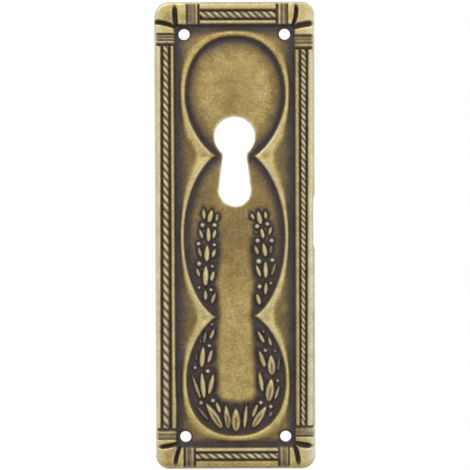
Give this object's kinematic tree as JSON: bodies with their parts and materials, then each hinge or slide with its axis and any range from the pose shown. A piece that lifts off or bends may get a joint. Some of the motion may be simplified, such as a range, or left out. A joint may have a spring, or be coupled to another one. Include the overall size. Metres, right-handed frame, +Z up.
{
  "type": "keyhole escutcheon",
  "caption": "Tall rounded keyhole plate in antiqued embossed brass, with a roped frame, a lobed cartouche with laurel garlands and pin holes at the corners.",
  "frame": {"origin": "centre of the four screw holes, on the plane of the wall or door that the plate is pinned to", "axes": "+Z up the plate, +X to the right when looking at its face, -Y out of its face"},
  "size_m": [0.036, 0.0024, 0.105],
  "materials": {
    "antiqued_brass": "antiqued, with dark patina in the hollows and rubbed bright on the relief"
  },
  "bodies": {
    "root": {"escutcheon_plate": "antiqued_brass"}
  },
  "joints": []
}
